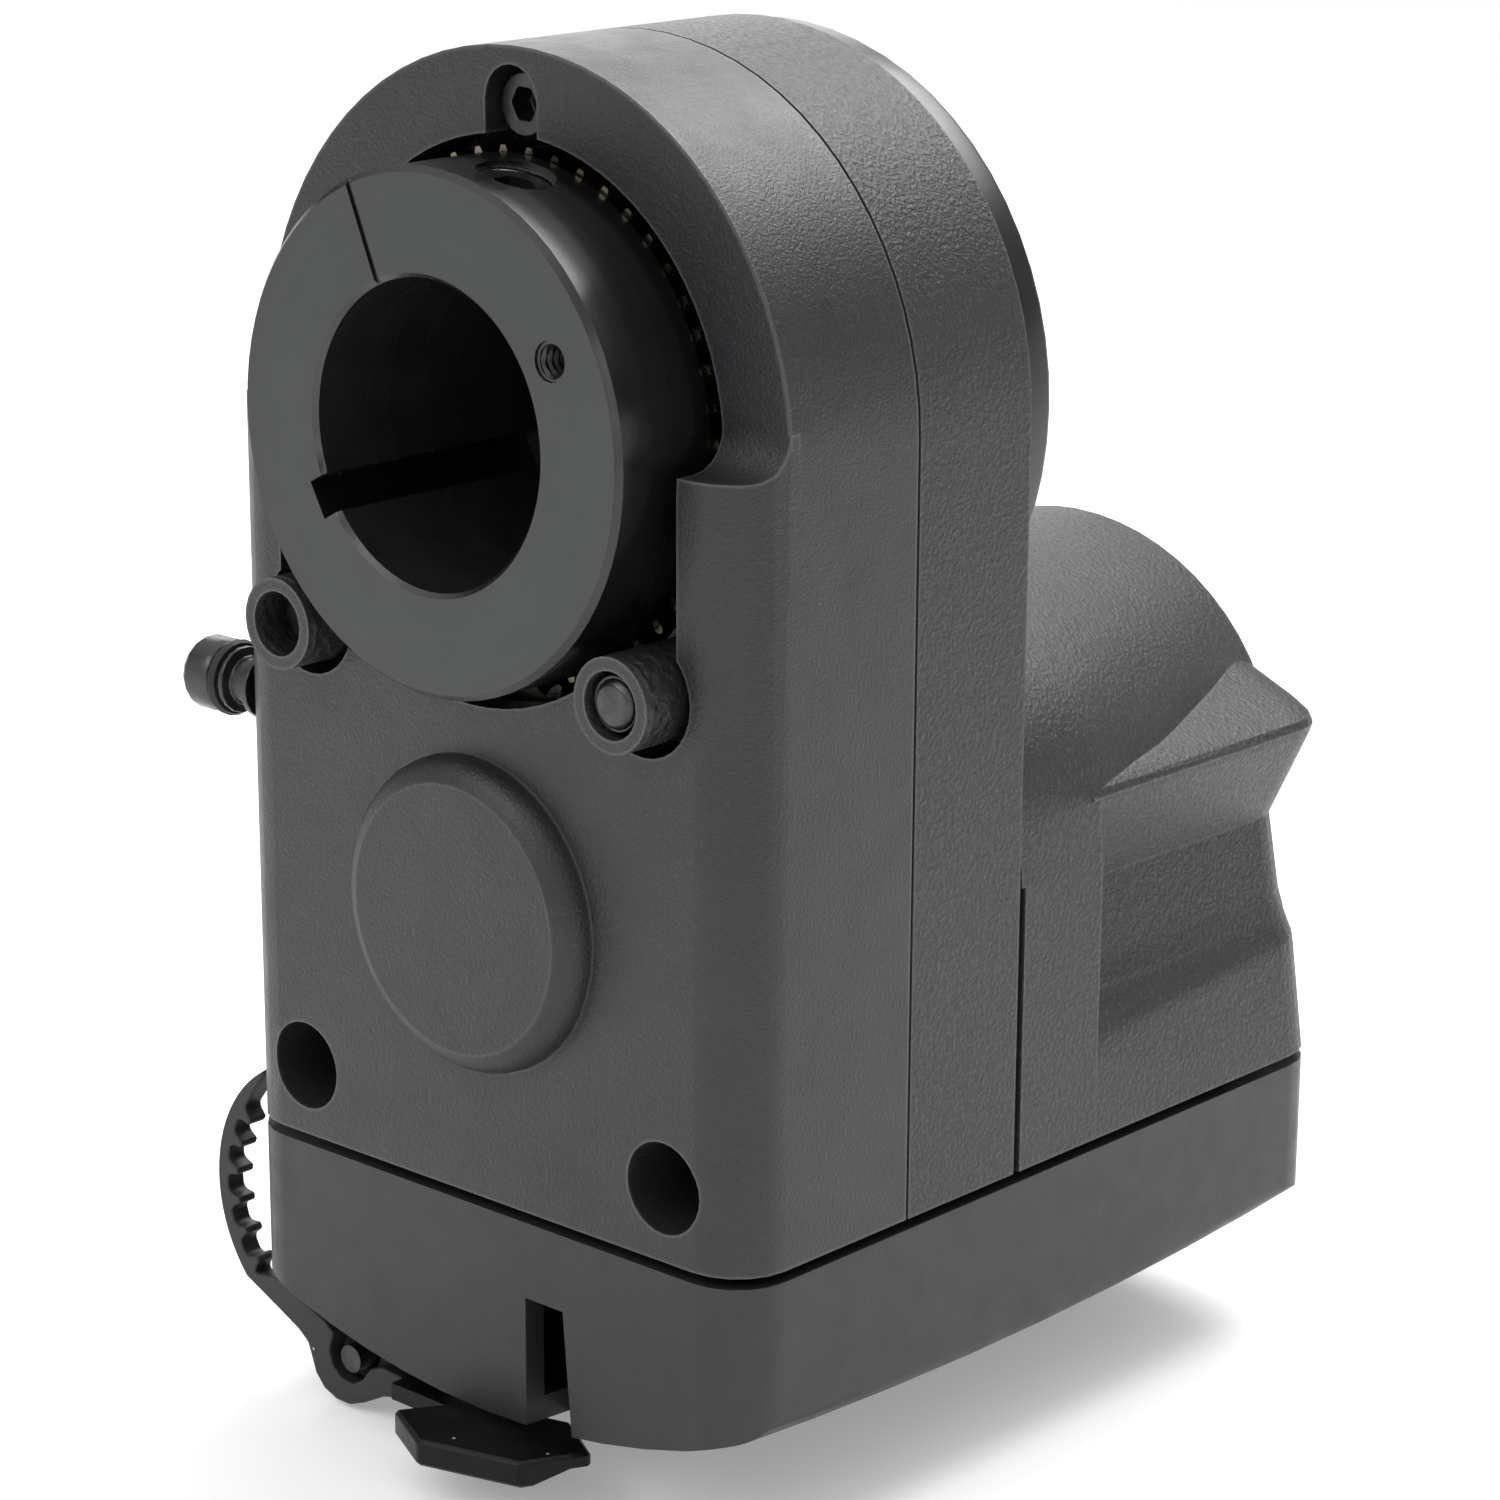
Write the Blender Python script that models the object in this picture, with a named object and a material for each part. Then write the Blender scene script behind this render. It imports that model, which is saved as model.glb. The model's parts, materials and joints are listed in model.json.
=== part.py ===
"""Motorised focuser that bolts to the rear of a telescope and turns its focus hub.

Sizes are in millimetres and become metres when a mesh is made. The frame's origin is on the axis of the
drive collar, in the plane of the front faces of the two mounting bosses. +X is to the right as seen from
the telescope, +Y points away from the telescope and +Z is up.
"""

import math

import bmesh
import bpy
from mathutils import Matrix, Vector

MM = 0.001
GAP = 0.3

# Outer casing
HALF_WIDTH = 30.0
SEAM_Z = -66.1
BLOCK_FRONT_Y = 3.8
ARCH_FRONT_Y = 9.1
COVER_REAR_Y = 24.3
FRAME_FRONT_Y = COVER_REAR_Y + GAP
FRAME_REAR_Y = 38.6
HOUSING_FRONT_Y = FRAME_REAR_Y + GAP
GRIP_Y = 50.0
LIP_Z = -35.0
REAR_Y = 85.3
WALL = 2.4
LEDGE_Z = -0.8
FRONT_CORNER = ARCH_FRONT_Y - BLOCK_FRONT_Y
REAR_CORNER = 6.0
ARCH_STEPS = 36

# Drive collar
COLLAR_RADIUS = 21.5
COLLAR_BORE = 12.7
COLLAR_FRONT_Y = -1.1
COLLAR_STEP_Y = 9.3
NECK_RADIUS = 16.7
NECK_REAR_Y = 37.0
POCKET_RADIUS = 23.0

# Gear train, on the line down from the collar's axis
MODULE = 0.9
OUTPUT_TEETH = 47
IDLER_TEETH = 15
PINION_TEETH = 14
GEAR_FRONT_Y = 9.66
GEAR_REAR_Y = 15.6
BACKLASH = 0.22
IDLER_Z = -MODULE * (OUTPUT_TEETH + IDLER_TEETH) / 2
MOTOR_Z = IDLER_Z - MODULE * (IDLER_TEETH + PINION_TEETH) / 2

# Fasteners
BOSS_X = 19.35
BOSS_Z = -18.8
BOSS_RADIUS = 3.95
BOSS_BORE = 2.8
TOP_SCREW_Z = 25.2
LOWER_SCREW_X = 21.4
LOWER_SCREW_Z = -59.7
LOWER_HOLE = 3.95
CAP_SEAT_RADIUS = 27.4
BASE_SCREWS = ((-25.2, 20.5), (25.2, 20.5), (-25.2, 74.0), (25.2, 74.0))

# Base
BASE_TOP_Z = SEAM_Z - 0.95
BELLY_Z = -85.4
BELLY_RADIUS = 80.0
BELLY_CROWN = 2.0
BASE_WALL = 2.2

# Strap and its stud
STRAP_Y = (6.3, 8.3)
PIN_X = -19.9
PIN_Z = -88.2
EAR_Y = (9.0, 12.4)
STUD_Y = 8.8
STUD_Z = -27.9


# ---------------------------------------------------------------- helpers


def material(name, color, roughness, metallic=0.0):
    """A Principled material, made once for each name."""
    found = bpy.data.materials.get(name)
    if found:
        return found
    made = bpy.data.materials.new(name)
    made.use_nodes = True
    shader = made.node_tree.nodes["Principled BSDF"]
    shader.inputs["Base Color"].default_value = (*color, 1.0)
    shader.inputs["Roughness"].default_value = roughness
    shader.inputs["Metallic"].default_value = metallic
    made.diffuse_color = (*color, 1.0)
    return made


def new_object(name, verts, faces):
    """A mesh object from points in millimetres, with its faces turned outward."""
    mesh = bpy.data.meshes.new(name)
    mesh.from_pydata([Vector(v) * MM for v in verts], [], faces)
    shape = bmesh.new()
    shape.from_mesh(mesh)
    bmesh.ops.recalc_face_normals(shape, faces=shape.faces)
    shape.to_mesh(mesh)
    shape.free()
    made = bpy.data.objects.new(name, mesh)
    bpy.context.scene.collection.objects.link(made)
    return made


def loft(name, rings):
    """A closed solid through rings that all have the same number of points."""
    count = len(rings[0])
    verts = [point for ring in rings for point in ring]
    faces = [list(range(count)), list(range(len(verts) - count, len(verts)))]
    for step in range(len(rings) - 1):
        low = step * count
        for i in range(count):
            j = (i + 1) % count
            faces.append([low + i, low + j, low + count + j, low + count + i])
    return new_object(name, verts, faces)


def prism(name, outline, start, end, along="Y"):
    """An outline pushed from start to end. It holds (x, z) along Y, (y, z) along X and (x, y) along Z."""
    place = {
        "X": lambda a, b, t: (t, a, b),
        "Y": lambda a, b, t: (a, t, b),
        "Z": lambda a, b, t: (a, b, t),
    }[along]
    return loft(name, [[place(a, b, t) for a, b in outline] for t in (start, end)])


def box(name, low, high):
    outline = [(low[0], low[1]), (high[0], low[1]), (high[0], high[1]), (low[0], high[1])]
    return prism(name, outline, low[2], high[2], "Z")


def arc(center, radius, start, end, steps):
    """Points on an arc, with angles in degrees and both ends included."""
    angles = [math.radians(start + (end - start) * i / steps) for i in range(steps + 1)]
    return [(center[0] + radius * math.cos(a), center[1] + radius * math.sin(a)) for a in angles]


def circle(center, radius, steps):
    return arc(center, radius, 0, 360, steps)[:-1]


def rod(name, center, radius, start, end, along="Y", steps=24):
    """A round bar. Its centre is given in the plane across the axis."""
    return prism(name, circle(center, radius, steps), start, end, along)


def turned(name, profile, center, along="Y", steps=32):
    """A ring turned from a closed outline of (radius, distance along the axis)."""
    rings = []
    for i in range(steps):
        a = 2 * math.pi * i / steps
        ring = []
        for radius, t in profile:
            u = center[0] + radius * math.cos(a)
            v = center[1] + radius * math.sin(a)
            ring.append({"X": (t, u, v), "Y": (u, t, v), "Z": (u, v, t)}[along])
        rings.append(ring)
    count = len(profile)
    verts = [point for ring in rings for point in ring]
    faces = []
    for i in range(steps):
        for j in range(count):
            k = (j + 1) % count
            n = (i + 1) % steps
            faces.append([i * count + j, i * count + k, n * count + k, n * count + j])
    return new_object(name, verts, faces)


def boolean(target, tools, operation):
    for tool in tools:
        tool.hide_render = True
        tool.display_type = "WIRE"
        step = target.modifiers.new(tool.name, "BOOLEAN")
        step.operation = operation
        step.object = tool
    return target


def cut(target, *tools):
    return boolean(target, tools, "DIFFERENCE")


def add(target, *tools):
    return boolean(target, tools, "UNION")


def keep(target, *tools):
    return boolean(target, tools, "INTERSECT")


def bevel(target, width, segments=2, angle=40):
    step = target.modifiers.new("edges", "BEVEL")
    step.width = width * MM
    step.segments = segments
    step.limit_method = "ANGLE"
    step.angle_limit = math.radians(angle)
    step.use_clamp_overlap = True
    return target


def finish(target, paint, origin=(0.0, 0.0, 0.0)):
    """Sets a node's material and shading, and moves its origin to a point given in millimetres."""
    target.data.materials.append(paint)
    for face in target.data.polygons:
        face.use_smooth = True
    target.data.set_sharp_from_angle(angle=math.radians(35))
    shift = Vector(origin) * MM
    target.data.transform(Matrix.Translation(-shift))
    target.location = shift
    return target


def rounded_plan(half_width, front, rear, front_radius, rear_radius, steps=5):
    """A plan outline of (x, y). A corner with no radius is one point."""
    points = []
    for turn, side, end, radius in (
        (0, half_width, rear, rear_radius),
        (90, -half_width, rear, rear_radius),
        (180, -half_width, front, front_radius),
        (270, half_width, front, front_radius),
    ):
        center = (side - math.copysign(radius, side), end + (radius if end == front else -radius))
        points += arc(center, radius, turn, turn + 90, steps) if radius else [(side, end)]
    return points


def arch_outline(radius, bottom, steps=ARCH_STEPS):
    """Half a circle round the collar's axis on straight sides, as (x, z)."""
    return arc((0, 0), radius, 0, 180, steps) + [(-radius, bottom), (radius, bottom)]


# ---------------------------------------------------------------- materials

CAST = material("cast_black", (0.075, 0.077, 0.080), 0.50, 0.3)
CRINKLE = material("crinkle_black", (0.070, 0.072, 0.075), 0.60, 0.2)
PLASTIC = material("satin_plastic", (0.060, 0.061, 0.063), 0.45)
ANODISED = material("black_anodised", (0.030, 0.031, 0.033), 0.38, 0.6)
STEEL = material("black_oxide_steel", (0.045, 0.045, 0.047), 0.42, 0.8)
BRIGHT = material("bright_steel", (0.62, 0.62, 0.63), 0.28, 1.0)
BRASS = material("brass", (0.72, 0.52, 0.22), 0.30, 1.0)
BRONZE = material("sintered_bronze", (0.45, 0.30, 0.16), 0.50, 1.0)
RUBBER = material("black_rubber", (0.022, 0.022, 0.023), 0.65)
BOARD = material("green_board", (0.03, 0.16, 0.07), 0.50)


# ---------------------------------------------------------------- casing


def front_cover():
    body = prism("front_cover", arch_outline(HALF_WIDTH, LEDGE_Z - 2.0), ARCH_FRONT_Y, COVER_REAR_Y)
    step = body.modifiers.new("arch_edge", "BEVEL")
    step.width = 0.9 * MM
    step.segments = 1
    step.limit_method = "WEIGHT"
    weights = body.data.attributes.new("bevel_weight_edge", "FLOAT", "EDGE")
    front_y = ARCH_FRONT_Y * MM + 1e-6
    for edge in body.data.edges:
        ends = [body.data.vertices[i].co for i in edge.vertices]
        if all(co.y < front_y and co.z > -0.001 for co in ends):
            weights.data[edge.index].value = 1.0

    plan = rounded_plan(HALF_WIDTH, BLOCK_FRONT_Y, COVER_REAR_Y, FRONT_CORNER, 0.0)
    block = prism("front_block", plan, SEAM_Z, LEDGE_Z, "Z")
    fillet = 3.5
    corner = (ARCH_FRONT_Y - fillet, LEDGE_Z + fillet)
    web = arc(corner, fillet, 0, -90, 5)
    web += [(ARCH_FRONT_Y - fillet, LEDGE_Z - 1.0), (ARCH_FRONT_Y + 1.0, LEDGE_Z - 1.0)]
    web += [(ARCH_FRONT_Y + 1.0, LEDGE_Z + fillet)]
    ledge_fillet = prism("ledge_fillet", web, -HALF_WIDTH - 1.0, HALF_WIDTH + 1.0, "X")
    keep(ledge_fillet, prism("ledge_plan", plan, LEDGE_Z - 3.0, LEDGE_Z + 5.0, "Z"))

    floor_y = ARCH_FRONT_Y + WALL + 0.2
    inner = HALF_WIDTH - WALL
    hollow = prism("cover_hollow", arch_outline(inner, SEAM_Z - 1.0), floor_y, COVER_REAR_Y + 1.0)
    train = box("train_space", (-8.4, 6.9, MOTOR_Z - 9.0), (8.4, floor_y + 1.0, -19.0))
    pocket = rod("collar_pocket", (0, 0), POCKET_RADIUS, 0.0, floor_y + 1.0, "Y", 72)
    sides = []
    for sign in (-1, 1):
        low = min(sign * 13.0, sign * 22.9)
        sides.append(box("pocket_side", (low, 0.0, BOSS_Z + 3.0), (low + 9.9, ARCH_FRONT_Y, 0.5)))
        sides.append(rod("boss_relief", (sign * BOSS_X, BOSS_Z), 5.0, 0.0, ARCH_FRONT_Y, "Y", 28))
    slot = [(2.9, 20.0)] + arc((0, TOP_SCREW_Z + 0.4), 2.9, 0, 180, 10) + [(-2.9, 20.0)]
    keyhole = prism("keyhole_slot", slot, 0.0, 14.0)
    cut(add(body, block, ledge_fillet), hollow, train, pocket, *sides, keyhole)

    rim = arc((0, MOTOR_Z), 13.7, 0, 360, 40)[:-1]
    crown = [(13.7, 4.3), (13.6, 3.0), (13.2, 2.2), (12.5, 1.5), (11.6, 1.1)]
    rings = [[(x * r / 13.7, y, MOTOR_Z + (z - MOTOR_Z) * r / 13.7) for x, z in rim] for r, y in crown]
    disc = loft("front_disc", rings)
    posts = []
    for sign in (-1, 1):
        boss = (sign * BOSS_X, BOSS_Z)
        posts.append(rod("boss_post", boss, BOSS_RADIUS, 0.0, COVER_REAR_Y - 0.5, "Y", 28))
        lower = (sign * LOWER_SCREW_X, LOWER_SCREW_Z)
        posts.append(rod("lower_post", lower, 5.8, floor_y - 1.0, COVER_REAR_Y - 0.5, "Y", 24))
    top_post = rod("top_post", (0, TOP_SCREW_Z), 3.7, 17.0, COVER_REAR_Y - 0.5, "Y", 20)
    add(body, disc, *posts, top_post)

    bores = []
    for sign in (-1, 1):
        boss = (sign * BOSS_X, BOSS_Z)
        bores.append(rod("boss_bore", boss, BOSS_BORE, -1.0, COVER_REAR_Y + 1.0, "Y", 24))
        lower = (sign * LOWER_SCREW_X, LOWER_SCREW_Z)
        bores.append(rod("lower_hole", lower, LOWER_HOLE, 0.0, 19.0, "Y", 28))
        bores.append(rod("lower_bore", lower, 1.9, 18.0, COVER_REAR_Y + 1.0, "Y", 16))
        spot = (sign * 25.2, BASE_SCREWS[0][1])
        bores.append(rod("base_screw_hole", spot, 1.55, SEAM_Z - 1.0, -60.5, "Z", 12))
    bores.append(rod("top_bore", (0, TOP_SCREW_Z), 2.3, 12.0, COVER_REAR_Y + 1.0, "Y", 16))
    bores.append(rod("idler_hole", (0, IDLER_Z), 2.3, 5.2, 8.0, "Y", 16))
    bores.append(rod("stud_hole", (STUD_Y, STUD_Z), 2.0, -31.0, -24.0, "X", 16))
    bores.append(box("strap_slot", (-31.0, STRAP_Y[0] - GAP, -64.4), (-26.4, STRAP_Y[1] + GAP, -61.8)))
    cut(body, *bores)
    return finish(body, CAST)


def middle_frame():
    body = prism("middle_frame", arch_outline(HALF_WIDTH, SEAM_Z), FRAME_FRONT_Y, FRAME_REAR_Y)
    web_y = FRAME_FRONT_Y + 3.8
    hollow = prism("frame_hollow", arch_outline(HALF_WIDTH - WALL, SEAM_Z - 1.0), web_y, FRAME_REAR_Y + 1.0)
    cut(body, hollow)
    seat = rod("bearing_seat", (0, 0), 22.8, web_y - 1.0, 34.4, "Y", 48)
    posts = []
    for sign in (-1, 1):
        posts.append(rod("lower_nut", (sign * LOWER_SCREW_X, LOWER_SCREW_Z), 4.6, web_y - 1.0, 34.0, "Y", 20))
        low = min(sign * 17.0, sign * 29.0)
        posts.append(box("cap_corner", (low, 35.6, -36.0), (low + 12.0, FRAME_REAR_Y, -3.0)))
    add(body, seat, *posts)
    holes = [rod("bearing_bore", (0, 0), 20.3, 20.0, 36.0, "Y", 48)]
    holes.append(rod("pinion_bore", (0, MOTOR_Z), 8.3, 20.0, 30.0, "Y", 24))
    holes.append(rod("idler_bore", (0, IDLER_Z), 2.3, 20.0, 30.0, "Y", 16))
    holes.append(rod("top_thread", (0, TOP_SCREW_Z), 2.0, 20.0, 30.0, "Y", 16))
    holes.append(rod("cap_seat", (0, 0), CAP_SEAT_RADIUS, 34.9, 40.0, "Y", 64))
    for sign in (-1, 1):
        holes.append(rod("boss_hole", (sign * BOSS_X, BOSS_Z), BOSS_BORE, 20.0, 36.0, "Y", 20))
        holes.append(rod("screw_head_space", (sign * BOSS_X, BOSS_Z), 4.2, 34.9, 40.0, "Y", 24))
        holes.append(rod("lower_thread", (sign * LOWER_SCREW_X, LOWER_SCREW_Z), 1.9, 20.0, 36.0, "Y", 16))
    cut(body, *holes)
    return finish(body, CRINKLE)


def dome_ring(y, half_width, power, shrink=0.0, foot=LIP_Z):
    """The dome's section at y: the part of a superellipse above the lip, closed at its foot."""
    top = -18.7 - 1.0 * (y - HOUSING_FRONT_Y) / (REAR_Y - HOUSING_FRONT_Y) - shrink
    low = -40.5
    width = half_width - shrink
    start = math.asin(((LIP_Z - low) / (top - low)) ** (power / 2))
    ring = []
    steps = 24
    for i in range(steps + 1):
        a = start + (math.pi - 2 * start) * i / steps
        x = math.copysign(abs(math.cos(a)) ** (2 / power), math.cos(a)) * width
        ring.append((x, y, low + (top - low) * math.sin(a) ** (2 / power)))
    if foot < LIP_Z:
        ring = [(width, y, low)] + ring + [(-width, y, low), (-width, y, foot), (width, y, foot)]
    return ring


def dome(name):
    sections = ((GRIP_Y, 30.0, 2.4), (61.5, 28.4, 2.15), (73.5, 26.0, 1.98))
    rings = [dome_ring(y, w, p) for y, w, p in sections]
    for back, shrink in ((1.6, 0.0), (0.8, 0.25), (0.25, 0.8), (0.0, 1.6)):
        rings.append(dome_ring(REAR_Y - back, 23.4, 1.92, shrink))
    return loft(name, rings)


def housing_front(name, clearance, start, end):
    rings = [dome_ring(y, HALF_WIDTH, 2.4, -clearance, SEAM_Z) for y in (start, end)]
    return loft(name, rings)


def motor_housing():
    body = housing_front("motor_housing", 0.0, HOUSING_FRONT_Y, GRIP_Y)
    # Each level holds its height above the seam and how far the grip is set in, at its front and at the rear
    grip = ((0, 0, 0, 0), (7.6, 0.12, 9.6, 1.4), (9.0, 0.4, 10.6, 1.6), (10.0, 1.1, 11.3, 2.0))
    grip += ((12.0, 2.6, 12.5, 2.6), (12.8, 2.7, 12.9, 2.7), (15.0, 3.8, 14.5, 3.3), (21.8, 4.9, 21.8, 4.7))
    grip += ((30.3, 0.6, 30.3, 0.6), (31.1, 0.35, 31.1, 0.35), (31.8, 0.8, 31.8, 0.8), (32.6, 2.2, 32.6, 2.2))
    grip += ((36.5, 11.0, 36.5, 11.0), (39.0, 16.5, 39.0, 16.5))
    levels = []
    for front_z, front_inset, rear_z, rear_inset in grip:
        plan = rounded_plan(HALF_WIDTH - rear_inset, GRIP_Y, REAR_Y, 0.0, REAR_CORNER, 6)[:14]
        edge = HALF_WIDTH - front_inset
        level = [(x, y, SEAM_Z + rear_z) for x, y in plan]
        levels.append(level + [(x, GRIP_Y - 1.0, SEAM_Z + front_z) for x in (-edge, edge)])
    rear = loft("grip_body", levels)
    rear.modifiers.new("flat_faces", "TRIANGULATE")
    add(body, dome("dome"), rear)

    tunnel = rod("motor_tunnel", (0, MOTOR_Z), 18.6, 30.0, REAR_Y - 3.0, "Y", 36)
    well = box("motor_well", (-21.5, 30.0, SEAM_Z - 1.0), (21.5, REAR_Y - 3.0, -46.0))
    front_well = box("front_well", (-27.4, 30.0, SEAM_Z - 1.0), (27.4, 46.0, -42.0))
    gap = [box("frame_gap", (-31.0, 38.0, SEAM_Z - 1.0), (31.0, HOUSING_FRONT_Y + 0.5, -40.5))]
    for sign in (-1, 1):
        spot = (sign * 25.2, BASE_SCREWS[2][1])
        gap.append(rod("rear_screw_hole", spot, 1.55, SEAM_Z - 1.0, -60.0, "Z", 12))
    cut(body, tunnel, well, front_well, *gap)
    return finish(body, CRINKLE)


def rear_cap():
    profile = ((28.4, 42.2), (29.3, 41.9), (29.6, 41.2), (29.6, HOUSING_FRONT_Y))
    steps = 64
    rings = [[(r * x, y, r * z) for x, z in circle((0, 0), 1.0, steps)] for r, y in profile]
    body = loft("rear_cap", rings)
    spigot = turned("cap_spigot", [(25.0, 35.6), (27.0, 35.6), (27.0, 39.5), (25.0, 39.5)], (0, 0), "Y", 48)
    dome_space = housing_front("cap_relief", 0.6, 33.0, GRIP_Y)
    lower = box("cap_lower", (-31.0, 30.0, -40.0), (31.0, HOUSING_FRONT_Y, -12.0))
    cut(add(body, spigot), lower, dome_space)
    return finish(body, PLASTIC)


def belly_outline(inset):
    """The base's section: upright sides, rounded corners and a belly, as (x, z)."""
    side = HALF_WIDTH - inset
    radius = BELLY_RADIUS - inset
    center_z = BELLY_Z + BELLY_RADIUS
    corner = 2.4
    corner_x = side - corner
    corner_z = center_z - math.sqrt((radius - corner) ** 2 - corner_x**2)
    turn = math.degrees(math.asin(corner_x / (radius - corner)))
    bottom = arc((0, center_z), radius, 270 - turn, 270 + turn, 12)
    right = arc((corner_x, corner_z), corner, 270 + turn, 360, 5)[1:]
    left = [(-x, z) for x, z in reversed(right)]
    return left + bottom + right


def base_shape(name, inset, top):
    front = BLOCK_FRONT_Y + inset
    rear = REAR_Y - inset
    rings = []
    for step in range(9):
        y = front + (rear - front) * step / 8
        crown = BELLY_CROWN * (1 - ((y - 42.0) / 43.0) ** 2)
        ring = [(x, y, z - crown) for x, z in belly_outline(inset)]
        rings.append(ring + [(HALF_WIDTH - inset, y, top), (-HALF_WIDTH + inset, y, top)])
    body = loft(name, rings)
    plan = rounded_plan(HALF_WIDTH - inset, front, rear, FRONT_CORNER - inset, REAR_CORNER - inset)
    return keep(body, prism(name + "_plan", plan, -95.0, top + 1.0, "Z"))


def base_cover():
    body = base_shape("base_cover", 0.0, BASE_TOP_Z)
    cut(body, base_shape("base_hollow", BASE_WALL, BASE_TOP_Z + 0.5))
    posts = [rod("base_post", spot, 3.4, -80.6, BASE_TOP_Z, "Z", 16) for spot in BASE_SCREWS]
    ear = [(-25.0, -80.0), (-25.0, -88.0), (-23.6, -90.2), (-21.0, -91.0), (-18.0, -90.4), (-16.0, -89.2)]
    ear += [(-12.6, -88.6), (-12.6, -80.0)]
    add(body, *posts, prism("pin_ear", ear, *EAR_Y))
    holes = []
    for spot in BASE_SCREWS:
        holes.append(rod("base_screw_bore", spot, 1.55, -90.0, -60.0, "Z", 10))
        holes.append(rod("base_screw_seat", spot, 2.9, -90.0, -78.6, "Z", 20))
    notch = [(5.5, -73.9), (9.9, -73.9), (11.3, -90.0), (5.5, -90.0)]
    holes.append(prism("front_notch", notch, 0.0, 9.0))
    holes.append(box("usb_window", (6.0, 78.0, -77.3), (15.2, 90.0, -72.5)))
    holes.append(box("jack_window", (-17.0, 78.0, -80.2), (-2.8, 90.0, -72.5)))
    holes.append(rod("pin_hole", (PIN_X, PIN_Z), 1.62, 8.0, 13.4, "Y", 16))
    cut(body, *holes)
    return finish(body, PLASTIC)


# ---------------------------------------------------------------- drive


def involute(angle):
    return math.tan(angle) - angle


def gear_outline(teeth, tooth_angle):
    """A spur gear's outline as (x, z), with one tooth centred on tooth_angle, in degrees."""
    pressure = math.radians(20)
    pitch = MODULE * teeth / 2
    base = pitch * math.cos(pressure)
    root = pitch - 1.2 * MODULE
    tip = pitch + 0.95 * MODULE
    start = max(root, base)
    radii = [start, (start + pitch) / 2, (pitch + tip) / 2, tip] if teeth < 20 else [start, pitch, tip]
    half = math.pi / (2 * teeth) - BACKLASH / (2 * pitch)
    flank = [(r, half + involute(pressure) - involute(math.acos(min(1.0, base / r)))) for r in radii]
    if root < start:
        flank.insert(0, (root, flank[0][1] + 0.02))
    points = []
    for tooth in range(teeth):
        middle = math.radians(tooth_angle) + 2 * math.pi * tooth / teeth
        sides = [(r, middle - a) for r, a in flank] + [(r, middle + a) for r, a in reversed(flank)]
        points += [(r * math.cos(a), r * math.sin(a)) for r, a in sides]
    return points


def gear(name, teeth, tooth_angle, center_z, bore, bore_steps):
    outline = [(x, z + center_z) for x, z in gear_outline(teeth, tooth_angle)]
    body = prism(name, outline, GEAR_FRONT_Y, GEAR_REAR_Y)
    cut(body, rod(name + "_bore", (0, center_z), bore, GEAR_FRONT_Y - 1, GEAR_REAR_Y + 1, "Y", bore_steps))
    return body


def polar(radius, angle):
    return (radius * math.cos(math.radians(angle)), radius * math.sin(math.radians(angle)))


KEYWAY_ANGLE = 209.0
FACE_HOLE_ANGLE = 29.0
INDEX_ANGLE = 113.0
SET_SCREW_ANGLE = 76.5
SET_SCREW_Y = 4.65


def turn_about_y(target, angle):
    """Turns a mesh made along +X so that it points at angle, in degrees from +X towards +Z."""
    target.data.transform(Matrix.Rotation(-math.radians(angle), 4, "Y"))
    return target


def drive_collar():
    profile = [(COLLAR_BORE, COLLAR_FRONT_Y + 0.4), (COLLAR_BORE + 0.4, COLLAR_FRONT_Y)]
    profile += [(COLLAR_RADIUS - 0.5, COLLAR_FRONT_Y), (COLLAR_RADIUS, COLLAR_FRONT_Y + 0.5)]
    profile += [(COLLAR_RADIUS, COLLAR_STEP_Y), (NECK_RADIUS, COLLAR_STEP_Y), (NECK_RADIUS, 34.9)]
    profile += [(15.0, 34.9), (15.0, NECK_REAR_Y), (COLLAR_BORE, NECK_REAR_Y)]
    body = turned("drive_collar", profile, (0, 0), "Y", 72)
    keyway = box("keyway", (10.0, -3.0, -1.65), (14.5, 24.0, 1.65))
    index_line = box("index_line", (11.0, -3.0, -0.26), (23.0, COLLAR_FRONT_Y + 0.35, 0.26))
    screw_hole = rod("set_screw_hole", (SET_SCREW_Y, 0), 3.3, 10.0, 23.0, "X", 24)
    face_hole = rod("face_hole", polar(15.9 + 0.3, FACE_HOLE_ANGLE), 1.65, -3.0, 6.0, "Y", 16)
    turn_about_y(keyway, KEYWAY_ANGLE)
    turn_about_y(index_line, INDEX_ANGLE)
    turn_about_y(screw_hole, SET_SCREW_ANGLE)
    cut(body, keyway, index_line, screw_hole, face_hole)
    return finish(body, ANODISED)


def set_screw():
    body = rod("collar_set_screw", (SET_SCREW_Y, 0), 3.0, 14.2, 20.6, "X", 20)
    cut(body, rod("set_screw_socket", (SET_SCREW_Y, 0), 1.75, 17.4, 22.0, "X", 6))
    turn_about_y(body, SET_SCREW_ANGLE)
    turn_about_y(bpy.data.objects["set_screw_socket"], SET_SCREW_ANGLE)
    return finish(body, STEEL)


def socket_screw(name, center, shank, head, front, head_y, rear, hex_front=True):
    """A socket-head screw along Y. Its head is at the front, or at the rear when hex_front is False."""
    if hex_front:
        body = rod(name, center, head, front, head_y, "Y", 20)
        add(body, rod(name + "_shank", center, shank, head_y - 0.5, rear, "Y", 16))
        cut(body, rod(name + "_hex", center, head * 0.56, front - 1, front + 2.2, "Y", 6))
    else:
        body = rod(name, center, head, head_y, rear, "Y", 20)
        rings = [[(x, y, z) for x, z in circle(center, r, 18)]
                 for r, y in ((shank - 0.45, front), (shank, front + 0.45), (shank, head_y + 0.5))]
        add(body, loft(name + "_shank", rings))
        cut(body, rod(name + "_hex", center, head * 0.56, rear - 2.2, rear + 1, "Y", 6))
    return finish(body, STEEL, (center[0], 0, center[1]))


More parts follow.
